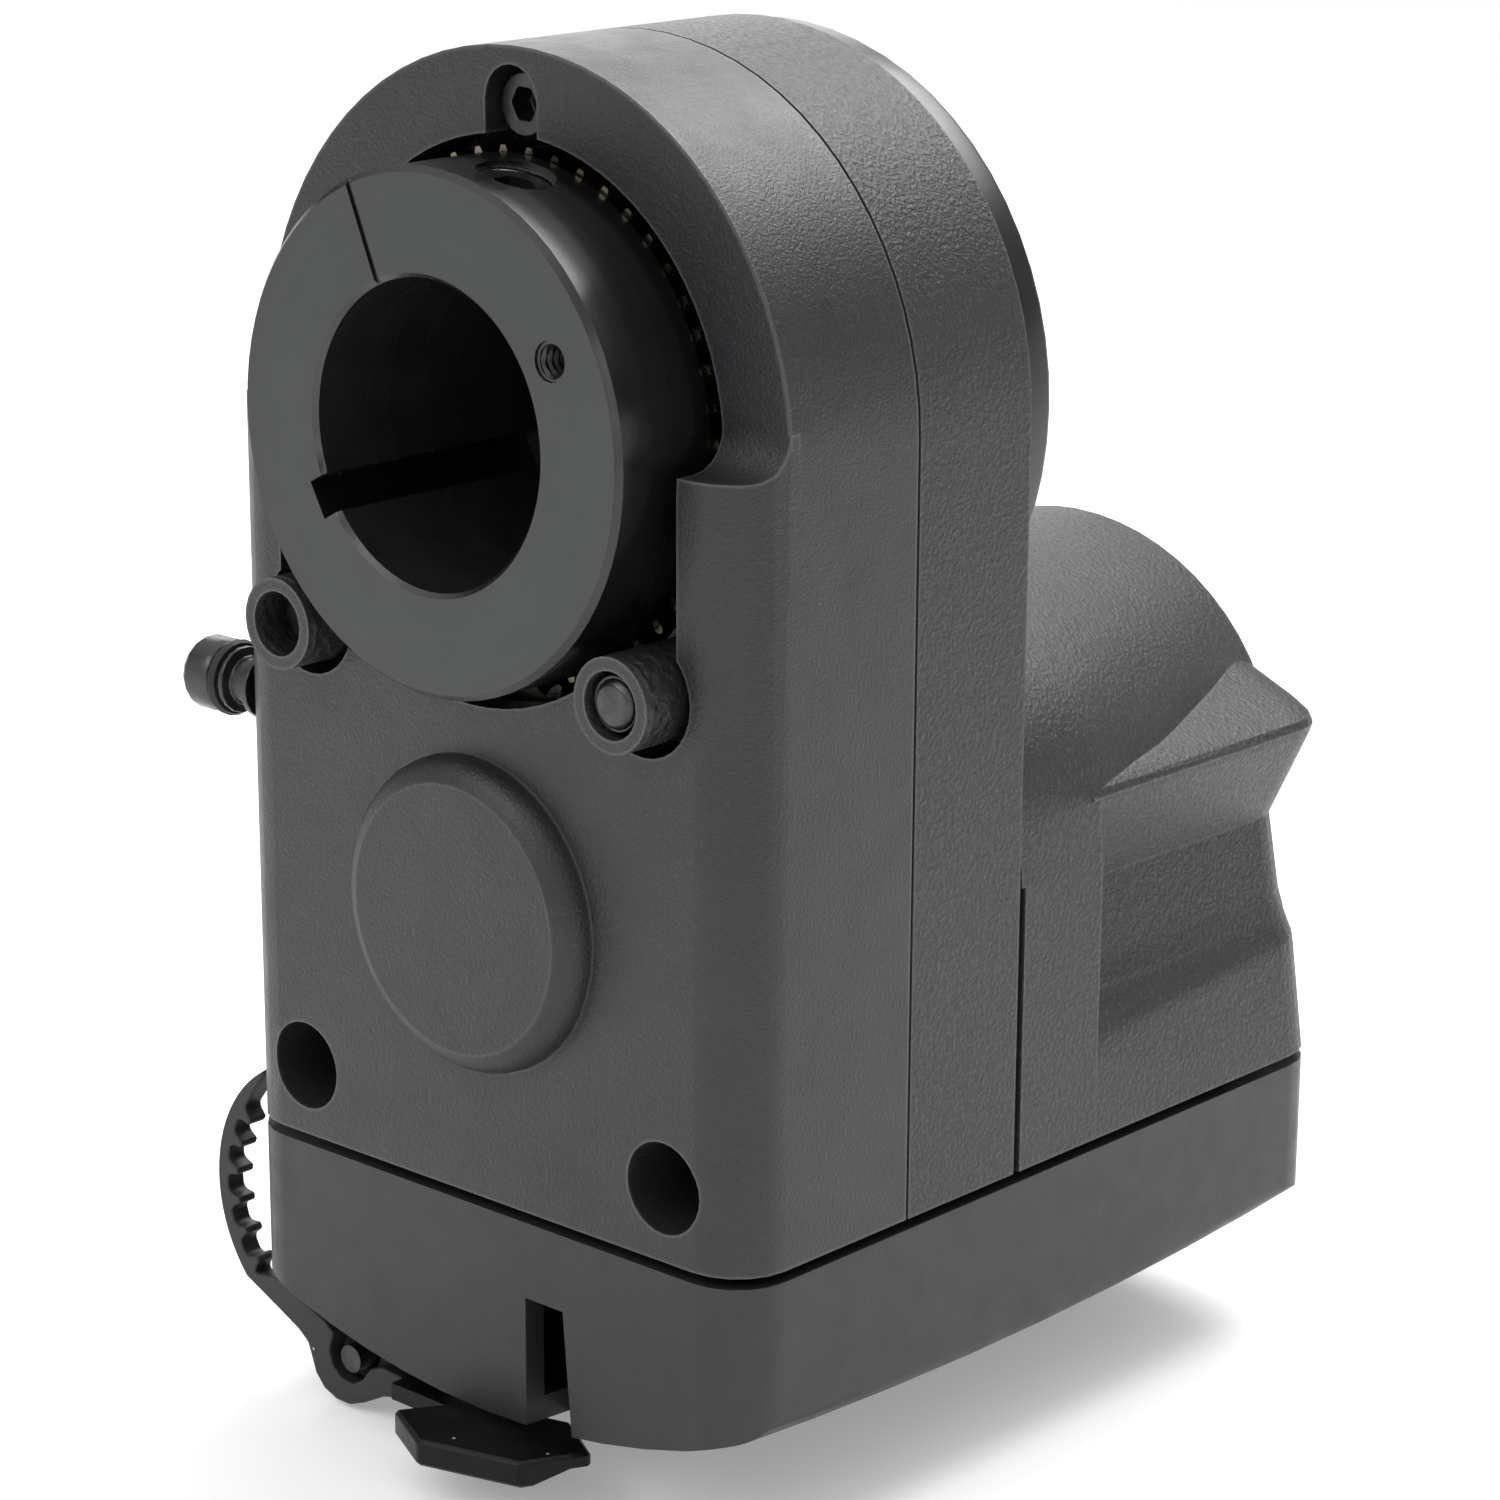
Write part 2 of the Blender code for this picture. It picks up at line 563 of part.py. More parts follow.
def collar_parts():
    output = gear("output_gear", OUTPUT_TEETH, -90.0, 0.0, 17.0, 48)
    finish(output, BRASS)
    ring = [(15.3, 35.2), (18.2, 35.2), (18.2, 36.4), (15.3, 36.4)]
    clip = turned("collar_retaining_ring", ring, (0, 0), "Y", 36)
    finish(clip, STEEL)


def collar_bush():
    profile = [(17.0, 22.9), (20.9, 22.9), (20.9, 24.2), (20.0, 24.2), (20.0, 34.4), (17.0, 34.4)]
    return finish(turned("collar_bush", profile, (0, 0), "Y", 36), BRONZE)


def gear_train():
    idler = gear("idler_gear", IDLER_TEETH, -90.0, IDLER_Z, 2.35, 16)
    finish(idler, BRASS, (0, 0, IDLER_Z))
    pin = rod("idler_pin", (0, IDLER_Z), 2.0, 5.6, 28.2, "Y", 16)
    finish(pin, BRIGHT)
    spacer = turned("idler_spacer", [(2.35, 15.9), (4.0, 15.9), (4.0, 24.2), (2.35, 24.2)], (0, IDLER_Z), "Y", 20)
    finish(spacer, BRONZE)
    drive = gear("motor_pinion", PINION_TEETH, 90.0 + 180.0 / PINION_TEETH, MOTOR_Z, 2.8, 16)
    finish(drive, BRASS, (0, 0, MOTOR_Z))
    shaft = rod("gearmotor_shaft", (0, MOTOR_Z), 2.5, 8.2, 40.0, "Y", 16)
    finish(shaft, BRIGHT, (0, 0, MOTOR_Z))


def motor():
    plate = box("motor_plate", (-17.0, 36.0, MOTOR_Z - 16.0), (17.0, 38.0, MOTOR_Z + 16.0))
    cut(plate, rod("plate_hole", (0, MOTOR_Z), 3.2, 30.0, 40.0, "Y", 20))
    finish(plate, BRIGHT)
    gearbox = rod("planetary_gearbox", (0, MOTOR_Z), 16.0, 38.3, 58.0, "Y", 32)
    bevel(gearbox, 0.6, 1, 60)
    cut(gearbox, rod("shaft_hole", (0, MOTOR_Z), 3.2, 37.0, 41.0, "Y", 16))
    finish(gearbox, BRIGHT)
    can = rod("motor_can", (0, MOTOR_Z), 14.2, 58.3, 76.0, "Y", 32)
    bevel(can, 1.0, 2, 60)
    finish(can, BRIGHT)
    end = rod("motor_end_cap", (0, MOTOR_Z), 12.5, 76.3, 79.5, "Y", 28)
    bevel(end, 0.5, 1, 60)
    finish(end, PLASTIC)


# ---------------------------------------------------------------- fasteners, electronics, strap


def screws():
    socket_screw("top_clamp_screw", (0, TOP_SCREW_Z), 1.7, 2.6, 10.6, 13.4, 27.6)
    for side, sign, shift in (("left", -1, 2.7), ("right", 1, 0.2)):
        center = (sign * BOSS_X, BOSS_Z)
        name = "captive_screw_" + side
        socket_screw(name, center, 2.1, 3.4, shift, shift + 32.2, shift + 35.4, False)
        lower = (sign * LOWER_SCREW_X, LOWER_SCREW_Z)
        socket_screw("case_screw_" + side, lower, 1.6, 3.3, 15.0, 18.4, 33.0)
    for index, (x, y) in enumerate(BASE_SCREWS):
        name = "base_screw_%d" % (index + 1)
        body = rod(name, (x, y), 2.6, -80.9, -78.9, "Z", 20)
        add(body, rod(name + "_shank", (x, y), 1.25, -79.4, -61.5, "Z", 10))
        cut(body, rod(name + "_hex", (x, y), 1.4, -83.0, -79.7, "Z", 6))
        finish(body, STEEL)


def electronics():
    board = box("circuit_board", (-20.5, 27.0, -72.6), (20.5, 80.0, -71.0))
    finish(board, BOARD)
    chip = box("driver_chip", (-6.0, 44.0, -70.7), (6.0, 56.0, -69.0))
    finish(chip, PLASTIC)
    usb = box("usb_socket", (6.6, 74.0, -76.9), (14.6, 84.6, -72.9))
    cut(usb, box("usb_mouth", (7.3, 77.0, -76.3), (13.9, 90.0, -73.5)))
    finish(usb, BRIGHT)
    jack = box("hand_control_socket", (-16.4, 70.0, -79.6), (-3.4, 84.6, -72.9))
    cut(jack, box("jack_mouth", (-15.2, 73.0, -78.5), (-4.6, 90.0, -74.0)))
    finish(jack, PLASTIC)


def strap_outline():
    """The strap's side view as (x, z), from its root bulb down to the hook, and back along the toothed face."""
    turn = (-23.0, SEAM_Z - 8.6)
    outer = arc(turn, 13.6, 118, 222, 22)
    outer += [(-30.5, -85.0), (-28.3, -86.0), (-26.2, -87.0), (-25.0, -87.9), (-24.5, -89.2), (-24.0, -90.6)]
    outer += [(-22.9, -91.8), (-21.3, -92.4), (-19.6, -92.4), (-17.8, -91.7), (-15.2, -90.3), (-12.6, -89.6)]
    outer += [(-12.6, -87.6), (-15.2, -87.4), (-16.8, -88.1), (-17.8, -89.4), (-19.1, -90.2), (-20.6, -90.1)]
    outer += [(-21.7, -89.1), (-22.1, -87.8), (-21.5, -86.0), (-22.6, -85.2), (-25.8, -83.9), (-28.6, -82.7)]
    inner = []
    for tooth in range(6):
        middle = 219.0 - tooth * 14.6
        for offset, radius in ((4.6, 12.25), (2.9, 11.9), (1.7, 10.9), (-1.7, 10.9), (-2.9, 11.9), (-4.6, 12.25)):
            inner += arc(turn, radius, middle + offset, middle + offset, 1)[:1]
    return outer + inner + [(-30.2, -64.0)]


def strap():
    body = prism("toothed_strap", strap_outline(), *STRAP_Y)
    root = box("strap_root", (-29.6, STRAP_Y[0], -64.0), (-26.7, STRAP_Y[1], -62.2))
    add(body, root)
    finish(body, RUBBER)
    pin = rod("strap_pin", (PIN_X, PIN_Z), 1.3, 6.9, 13.2, "Y", 16)
    finish(pin, STEEL)

    turn = math.radians(16.3)
    center = (2.8, 2.85)
    corners = [(-10.2, 0.0), (-5.2, -4.7), (4.8, -4.7), (9.2, 0.0), (4.8, 4.7), (-4.8, 4.7)]
    outline = []
    for u, v in corners:
        x = center[0] + u * math.cos(turn) - v * math.sin(turn)
        y = center[1] + u * math.sin(turn) + v * math.cos(turn)
        outline.append((x, y))
    tab = prism("strap_tab", outline, -89.2, -86.7, "Z")
    neck = box("tab_neck", (-12.2, 4.6, -89.0), (0.0, 8.6, -87.4))
    bevel(tab, 0.35, 1, 30)
    cut(add(tab, neck), box("tab_step", (9.0, -6.0, -90.0), (16.0, 12.0, -88.0)))
    finish(tab, RUBBER)


def stud():
    outline = [(1.7, -24.4), (1.7, -30.2), (3.0, -30.3), (3.0, -31.0), (2.2, -31.4), (2.2, -33.2), (3.0, -33.5)]
    outline += [(3.0, -34.0), (2.2, -34.1), (2.2, -35.2), (3.1, -35.3), (3.35, -36.0), (3.35, -38.0)]
    outline += [(2.8, -38.8), (1.2, -39.1)]
    rings = [[(x, STUD_Y + r * u, STUD_Z + r * v) for u, v in circle((0, 0), 1.0, 18)] for r, x in outline]
    finish(loft("strap_stud", rings), ANODISED)
    section = circle((2.95, -34.65), 0.5, 6)
    ring = turned("stud_o_ring", section, (STUD_Y, STUD_Z), "X", 20)
    finish(ring, RUBBER)


def main():
    for old in list(bpy.data.objects):
        bpy.data.objects.remove(old)
    front_cover()
    middle_frame()
    motor_housing()
    rear_cap()
    base_cover()
    drive_collar()
    set_screw()
    collar_parts()
    collar_bush()
    gear_train()
    motor()
    screws()
    electronics()
    strap()
    stud()


main()
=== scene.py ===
"""The looks of a motorised telescope focuser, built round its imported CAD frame.

The scene is in metres. Grain sizes, bump depths, edge radii and the small details are given in millimetres.
"""

import json
import math

import bmesh
import bpy
from mathutils import Matrix, Vector


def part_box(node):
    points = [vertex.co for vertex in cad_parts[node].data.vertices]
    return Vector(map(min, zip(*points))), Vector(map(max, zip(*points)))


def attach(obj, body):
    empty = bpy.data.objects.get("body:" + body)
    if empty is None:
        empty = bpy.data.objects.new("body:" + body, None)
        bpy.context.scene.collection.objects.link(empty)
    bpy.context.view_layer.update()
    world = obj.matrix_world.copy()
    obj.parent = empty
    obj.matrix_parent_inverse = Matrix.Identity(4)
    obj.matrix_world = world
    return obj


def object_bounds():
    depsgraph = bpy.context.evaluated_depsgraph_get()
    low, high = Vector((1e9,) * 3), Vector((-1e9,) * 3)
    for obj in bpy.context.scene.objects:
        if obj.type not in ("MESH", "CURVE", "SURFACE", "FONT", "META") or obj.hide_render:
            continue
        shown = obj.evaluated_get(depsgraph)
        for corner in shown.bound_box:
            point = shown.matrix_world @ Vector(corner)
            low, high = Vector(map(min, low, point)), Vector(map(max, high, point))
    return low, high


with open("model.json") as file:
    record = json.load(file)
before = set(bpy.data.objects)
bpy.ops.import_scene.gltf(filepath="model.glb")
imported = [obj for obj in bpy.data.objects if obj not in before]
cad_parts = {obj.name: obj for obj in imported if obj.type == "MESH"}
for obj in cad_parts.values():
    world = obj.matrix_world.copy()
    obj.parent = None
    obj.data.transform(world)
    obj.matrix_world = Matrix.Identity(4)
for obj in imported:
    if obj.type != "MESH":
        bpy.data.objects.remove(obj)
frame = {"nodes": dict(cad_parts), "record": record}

CAD_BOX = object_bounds()
NODES = frame["nodes"]
MM = 0.001
WHITE = (1.0, 1.0, 1.0, 1.0)


# ---------------------------------------------------------------- materials


# Where most of a noise's values lie
NOISE_RANGE = (0.3, 0.7)

# Linear colours, each as the darker and the lighter shade that it varies between
POWDER_BLACK = ((0.015, 0.016, 0.017), (0.021, 0.022, 0.024))
MOULDED_BLACK = ((0.017, 0.018, 0.019), (0.023, 0.024, 0.026))
DEEP_BLACK = ((0.006, 0.006, 0.0065), (0.010, 0.010, 0.011))
# The bore's black, painted paler to stand for the light reflected inside it
BORE_BLACK_WITH_PAINTED_REFLECTION = ((0.016, 0.016, 0.017), (0.030, 0.030, 0.031))
TURNED_GREY = ((0.024, 0.026, 0.027), (0.030, 0.032, 0.033))
RUBBER_BLACK = ((0.010, 0.010, 0.011), (0.030, 0.030, 0.031))
SMOOTH_RUBBER_BLACK = ((0.002, 0.002, 0.0022), (0.006, 0.006, 0.0063))
BOARD_GREEN = ((0.010, 0.060, 0.028), (0.016, 0.095, 0.042))
OXIDE_BLACK = ((0.040, 0.040, 0.042), (0.110, 0.107, 0.103))
STEEL = ((0.42, 0.42, 0.43), (0.60, 0.60, 0.60))
OILED_BRASS = ((0.06, 0.050, 0.032), (0.42, 0.38, 0.27))
BRONZE = ((0.22, 0.13, 0.06), (0.42, 0.28, 0.15))
FLOOR_WHITE = ((0.79, 0.79, 0.79), (0.81, 0.81, 0.81))


class Paint:
    """A material whose grain is worked out from the piece's own coordinates."""

    def __init__(self, name, metallic=0.0, **fixed):
        self.material = bpy.data.materials.new(name)
        self.material.use_nodes = True
        self.tree = self.material.node_tree
        self.shader = self.tree.nodes["Principled BSDF"]
        self.shader.inputs["Metallic"].default_value = metallic
        for socket, value in fixed.items():
            self.shader.inputs[socket.replace("_", " ")].default_value = value
        coordinates = self.tree.nodes.new("ShaderNodeTexCoord")
        self.place = coordinates.outputs["Object"]
        self.facing = coordinates.outputs["Normal"]
        self.bumps = None

    def put(self, kind, values, output=0, **settings):
        """Adds a node and returns one of its outputs. A value that is a socket is linked."""
        node = self.tree.nodes.new("ShaderNode" + kind)
        for name, value in settings.items():
            setattr(node, name, value)
        for name, value in values.items():
            if isinstance(value, bpy.types.NodeSocket):
                self.tree.links.new(value, node.inputs[name])
            else:
                node.inputs[name].default_value = value
        return node.outputs[output]

    def noise(self, size, detail=2.0, roughness=0.5, place=None):
        """Cloudy values, with patches of about size."""
        values = {"Vector": place or self.place, "Scale": 1 / (size * MM)}
        values["Detail"] = detail
        values["Roughness"] = roughness
        return self.put("TexNoise", values)

    def cells(self, size, place=None, feature="SMOOTH_F1"):
        """The distance from the middle of the nearest of many cells, each about size across."""
        values = {"Vector": place or self.place, "Scale": 1 / (size * MM)}
        return self.put("TexVoronoi", values, feature=feature)

    def warped(self, size, amount):
        """The coordinates, pushed about by a noise so that cells don't look regular."""
        values = {"Vector": self.place, "Scale": 1 / (size * MM), "Detail": 2.0}
        push = self.put("TexNoise", values, "Color")
        centred = self.put("VectorMath", {0: push, 1: (0.5, 0.5, 0.5)}, operation="SUBTRACT")
        scaled = self.put("VectorMath", {0: centred, "Scale": amount * MM}, operation="SCALE")
        return self.put("VectorMath", {0: self.place, 1: scaled}, operation="ADD")

    def split(self, vector):
        """The X, Y and Z of a vector."""
        node = self.tree.nodes.new("ShaderNodeSeparateXYZ")
        self.tree.links.new(vector, node.inputs[0])
        return node.outputs

    def math(self, operation, first, second=0.5):
        """The result of an operation; one that takes a single value ignores the second."""
        return self.put("Math", {0: first, 1: second}, operation=operation)

    def distance(self, across, up):
        """How far a point is from an axis, from its two coordinates across that axis."""
        squares = [self.math("MULTIPLY", value, value) for value in (across, up)]
        return self.math("SQRT", self.math("ADD", *squares))

    def spread(self, value, low, high, start=0.0, end=1.0):
        """Turns low..high into start..end, held at both ends. Low may be the greater."""
        values = {"Value": value, "From Min": low, "From Max": high, "To Min": start, "To Max": end}
        return self.put("MapRange", values)

    def uneven(self, noise, start, end):
        """A value that varies between start and end with a noise."""
        return self.spread(noise, *NOISE_RANGE, start, end)

    def tint(self, value, dark, light, low=NOISE_RANGE[0], high=NOISE_RANGE[1]):
        """A colour that goes from dark to light as value goes from low to high."""
        node = self.tree.nodes.new("ShaderNodeValToRGB")
        for level, position, shade in zip(node.color_ramp.elements, (low, high), (dark, light)):
            level.position = position
            level.color = (*shade, 1.0)
        self.tree.links.new(value, node.inputs["Fac"])
        return node.outputs["Color"]

    def over(self, share, under, top, strength=1.0):
        """One colour laid over another where share is 1, as thickly as strength says."""
        if strength < 1.0:
            share = self.math("MULTIPLY", share, strength)
        node = self.tree.nodes.new("ShaderNodeMix")
        node.data_type = "RGBA"
        # Sockets of this node share their names, so they are told apart by number
        share_socket, under_socket, top_socket, mixed_socket = 0, 6, 7, 2
        self.tree.links.new(share, node.inputs[share_socket])
        for index, color in ((under_socket, under), (top_socket, top)):
            if isinstance(color, bpy.types.NodeSocket):
                self.tree.links.new(color, node.inputs[index])
            else:
                node.inputs[index].default_value = (*color, 1.0)
        return node.outputs[mixed_socket]

    def edges(self, radius):
        """1 beside the edges of the piece and 0 on its faces: the mask of a painted highlight along the
        edges, where the coat is also thin.
        """
        rounded = self.put("Bevel", {"Radius": radius * MM}, samples=4)
        true = self.put("NewGeometry", {}, "Normal")
        match = self.put("VectorMath", {0: rounded, 1: true}, "Value", operation="DOT_PRODUCT")
        on_face, on_edge = 0.995, 0.95
        return self.spread(match, on_face, on_edge)

    def color(self, socket):
        self.tree.links.new(socket, self.shader.inputs["Base Color"])

    def rough(self, socket):
        self.tree.links.new(socket, self.shader.inputs["Roughness"])

    def bump(self, height, depth):
        """Raises the surface by up to depth where height is 1, on top of the bumps before it."""
        values = {"Height": height, "Distance": depth * MM, "Strength": 1.0}
        if self.bumps:
            values["Normal"] = self.bumps
        self.bumps = self.put("Bump", values)
        self.tree.links.new(self.bumps, self.shader.inputs["Normal"])


def boss_sides(paint):
    """1 on the round sides of the two mounting bosses, which are left as cast, and 0 elsewhere."""
    reach, reach_fade = 4.1 * MM, 0.5 * MM
    machined_depth, depth_fade = 0.3 * MM, 0.6 * MM
    low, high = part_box("captive_screw_right")
    x, y, z = paint.split(paint.place)
    across = paint.math("SUBTRACT", paint.math("ABSOLUTE", x), (low.x + high.x) / 2)
    up = paint.math("SUBTRACT", z, (low.z + high.z) / 2)
    near = paint.spread(paint.distance(across, up), reach + reach_fade, reach)
    behind_face = paint.spread(y, machined_depth, machined_depth + depth_fade)
    return paint.math("MULTIPLY", near, behind_face)


def cast_black():
    """Fine powder coat over a smooth die casting, rough on the bosses' sides."""
    paint = Paint("cast_black_powder_coat", Specular_IOR_Level=0.45)
    grain = paint.noise(0.30, detail=3.0, roughness=0.62)
    orange_peel = paint.noise(1.6)
    cloud = paint.noise(22, detail=3.0, roughness=0.55)
    base = paint.tint(cloud, *POWDER_BLACK)
    specks = paint.spread(grain, 0.56, 0.74)
    speckled = paint.over(specks, base, (0.095, 0.097, 0.101), strength=0.18)
    # Painted highlight along the edges, paler where the coat is also thin
    paint.color(paint.over(paint.edges(0.45), speckled, (0.110, 0.113, 0.118), strength=0.70))
    paint.rough(paint.uneven(paint.noise(4.5, detail=4.0, roughness=0.6), 0.33, 0.43))
    paint.bump(orange_peel, 0.020)
    paint.bump(grain, 0.085)
    crackle = paint.cells(0.85, paint.warped(1.0, amount=0.6))
    paint.bump(paint.math("MULTIPLY", crackle, boss_sides(paint)), 0.30)
    return paint.material


def crinkle_black():
    """A coarser textured coat: pebbles with fine grain over them, and paler on the pebbles' tops."""
    paint = Paint("crinkle_black_textured", Specular_IOR_Level=0.45)
    pebbles = paint.noise(0.44)
    fine = paint.noise(0.24, detail=3.0, roughness=0.65)
    cloud = paint.noise(20, detail=3.0, roughness=0.55)
    base = paint.tint(cloud, *POWDER_BLACK)
    tops = paint.spread(paint.math("MULTIPLY", pebbles, fine), 0.27, 0.40)
    speckled = paint.over(tops, base, (0.100, 0.102, 0.106), strength=0.22)
    # Painted highlight along the edges, paler where the coat is also thin
    paint.color(paint.over(paint.edges(0.45), speckled, (0.105, 0.107, 0.112), strength=0.60))
    paint.rough(paint.spread(pebbles, 0.35, 0.65, 0.48, 0.36))
    paint.bump(pebbles, 0.130)
    paint.bump(fine, 0.075)
    return paint.material


def satin_plastic():
    """Moulded plastic with a fine spark-eroded texture."""
    paint = Paint("satin_moulded_plastic", Specular_IOR_Level=0.45)
    paint.color(paint.tint(paint.noise(18, detail=3.0), *MOULDED_BLACK))
    paint.rough(paint.uneven(paint.noise(3, detail=4.0, roughness=0.6), 0.38, 0.50))
    paint.bump(paint.noise(0.35, detail=3.0, roughness=0.6), 0.022)
    return paint.material


def glossy_plastic():
    """Smoother, darker moulded plastic with a faint flow pattern."""
    paint = Paint("glossy_moulded_plastic", Specular_IOR_Level=0.5)
    paint.color(paint.tint(paint.noise(12, detail=4.0, roughness=0.6), *DEEP_BLACK))
    paint.rough(paint.uneven(paint.noise(6, detail=4.0, roughness=0.6), 0.28, 0.35))
    paint.bump(paint.noise(1.2, detail=3.0), 0.004)
    return paint.material


def turned_anodised():
    """Black anodised aluminium with fine turning marks: a matt face, a glossier outside, and a bore whose
    paler colour is a painted reflection.
    """
    bore_edge, bore_fade = 13.6 * MM, 0.4 * MM
    paint = Paint("black_anodised_turned", 0.35, Specular_IOR_Level=0.9)
    x, y, z = paint.split(paint.place)
    radius = paint.distance(x, z)
    lathe = paint.put("CombineXYZ", {"X": radius, "Y": y, "Z": 0.0})
    marks = paint.noise(0.09, roughness=0.7, place=lathe)
    bands = paint.noise(1.1, roughness=0.6, place=lathe)
    cloud = paint.noise(6, detail=4.0, roughness=0.6)
    face = paint.spread(paint.math("ABSOLUTE", paint.split(paint.facing)["Y"]), 0.78, 0.92)

    # Painted reflection: the bore is coloured paler than the outside
    in_bore = paint.spread(radius, bore_edge + bore_fade, bore_edge)
    side_color = paint.over(in_bore, paint.tint(cloud, *DEEP_BLACK), paint.tint(cloud, *BORE_BLACK_WITH_PAINTED_REFLECTION))
    paint.color(paint.over(face, side_color, paint.tint(cloud, *TURNED_GREY)))
    face_rough = paint.uneven(bands, 0.44, 0.54)
    side_rough = paint.uneven(bands, 0.20, 0.28)
    difference = paint.math("SUBTRACT", face_rough, side_rough)
    paint.rough(paint.math("ADD", side_rough, paint.math("MULTIPLY", difference, face)))
    paint.bump(marks, 0.0025)
    paint.bump(paint.noise(0.45, roughness=0.6), 0.004)
    return paint.material


def metal(name, shades, smooth, rough, mark_size, mark_depth):
    """A bare or blackened metal with handling marks and an uneven sheen."""
    paint = Paint(name, 1.0)
    cloud = paint.noise(4, detail=4.0, roughness=0.65)
    fine = paint.noise(mark_size, detail=3.0, roughness=0.6)
    paint.color(paint.tint(cloud, *shades))
    paint.rough(paint.spread(paint.math("MULTIPLY", cloud, fine), 0.12, 0.42, smooth, rough))
    paint.bump(fine, mark_depth)
    return paint.material


def black_oxide():
    return metal("black_oxide_steel", OXIDE_BLACK, 0.28, 0.50, mark_size=0.18, mark_depth=0.005)


def bright_steel():
    return metal("bright_steel", STEEL, 0.18, 0.38, mark_size=0.15, mark_depth=0.003)


def brass():
    return metal("oiled_brass", OILED_BRASS, 0.22, 0.42, mark_size=0.18, mark_depth=0.004)


def bronze():
    return metal("sintered_bronze", BRONZE, 0.36, 0.60, mark_size=0.22, mark_depth=0.014)


def rubber():
    """Black moulded rubber with a dull bloom and a few specks of dust."""
    paint = Paint("black_rubber", Specular_IOR_Level=0.4)
    bloom = paint.noise(3.2, detail=5.0, roughness=0.65)
    dust = paint.spread(paint.cells(3.0, feature="F1"), 0.055, 0.035)
    base = paint.tint(bloom, *RUBBER_BLACK, low=0.35, high=0.75)
    paint.color(paint.over(dust, base, (0.42, 0.42, 0.42)))
    paint.rough(paint.uneven(bloom, 0.42, 0.66))
    paint.bump(paint.noise(0.5, detail=3.0, roughness=0.6), 0.020)
    return paint.material


def smooth_rubber():
    """The same rubber, darker, with a sheen and only a little dust."""
    paint = Paint("black_rubber_smooth", Specular_IOR_Level=0.22)
    bloom = paint.noise(4.0, detail=4.0, roughness=0.6)
    dust = paint.spread(paint.cells(4.2, feature="F1"), 0.045, 0.030)
    base = paint.tint(bloom, *SMOOTH_RUBBER_BLACK, low=0.35, high=0.75)
    paint.color(paint.over(dust, base, (0.35, 0.35, 0.35)))
    paint.rough(paint.uneven(bloom, 0.34, 0.50))
    paint.bump(paint.noise(0.6, detail=3.0, roughness=0.6), 0.014)
    return paint.material


def green_board():
    """Solder mask with faint tracks under it."""
    paint = Paint("green_solder_mask", Coat_Weight=0.3)
    tracks = paint.put("TexBrick", {"Vector": paint.place, "Scale": 260.0}, "Fac")
    base = paint.tint(paint.noise(6), *BOARD_GREEN)
    paint.color(paint.over(tracks, base, (0.030, 0.150, 0.070)))
    paint.rough(paint.uneven(paint.noise(2), 0.25, 0.40))
    paint.bump(tracks, 0.020)
    return paint.material


# The finish of each material slot in the record
FINISHES = {
    "cast_black": cast_black(),
    "crinkle_black": crinkle_black(),
    "satin_plastic": satin_plastic(),
    "black_anodised": turned_anodised(),
    "black_oxide_steel": black_oxide(),
    "bright_steel": bright_steel(),
    "brass": brass(),
    "sintered_bronze": bronze(),
    "black_rubber": rubber(),
    "green_board": green_board(),
}

# The nodes whose finish differs from the rest of their slot
SPECIAL_FINISHES = {"strap_tab": smooth_rubber(), "rear_cap": glossy_plastic()}


def paint_nodes():
    """Gives each CAD node the finish of its slot in the record, or its own."""
    for part in frame["record"]["subparts"]:
        node = NODES[part["node"]]
        finish = FINISHES[part["material_slot"]]
        node.data.materials.clear()
        node.data.materials.append(SPECIAL_FINISHES.get(part["node"], finish))


# ---------------------------------------------------------------- edges


# How far each node's edges are rounded, in millimetres; a node that isn't here keeps its edges
EDGE_ROUNDING = {
    "front_cover": 0.40,
    "middle_frame": 0.35,
    "motor_housing": 0.55,
    "rear_cap": 0.25,
    "base_cover": 0.40,
    "drive_collar": 0.12,
    "toothed_strap": 0.22,
    "strap_tab": 0.30,
    "strap_stud": 0.12,
    "captive_screw_left": 0.15,
    "captive_screw_right": 0.15,
    "top_clamp_screw": 0.18,
}
ROUNDING_SEGMENTS = 3
JOIN_DISTANCE = 0.002

# The angles between two faces: up to the first they are one flat face, up to the second they are shaded as
# one curve, and past the third their edge is rounded
FLAT_ANGLE = math.radians(0.6)
SMOOTH_ANGLE = math.radians(24)
ROUNDED_ANGLE = math.radians(32)


def smoothing_group():
    """A node group that shades a mesh smooth, apart from its sharper edges."""
    group = bpy.data.node_groups.new("smooth_but_sharp_edges", "GeometryNodeTree")
    for direction in ("INPUT", "OUTPUT"):
        group.interface.new_socket("Geometry", in_out=direction, socket_type="NodeSocketGeometry")
    nodes, links = group.nodes, group.links
    start, end = nodes.new("NodeGroupInput"), nodes.new("NodeGroupOutput")
    faces, edges = nodes.new("GeometryNodeSetShadeSmooth"), nodes.new("GeometryNodeSetShadeSmooth")
    edges.domain = "EDGE"
    edges.inputs["Shade Smooth"].default_value = False
    angle, sharp = nodes.new("GeometryNodeInputMeshEdgeAngle"), nodes.new("FunctionNodeCompare")
    sharp.operation = "GREATER_THAN"
    sharp.inputs[1].default_value = SMOOTH_ANGLE
    links.new(start.outputs[0], faces.inputs[0])
    links.new(faces.outputs[0], edges.inputs[0])
    links.new(angle.outputs[0], sharp.inputs[0])
    links.new(sharp.outputs[0], edges.inputs["Selection"])
    links.new(edges.outputs[0], end.inputs[0])
    return group


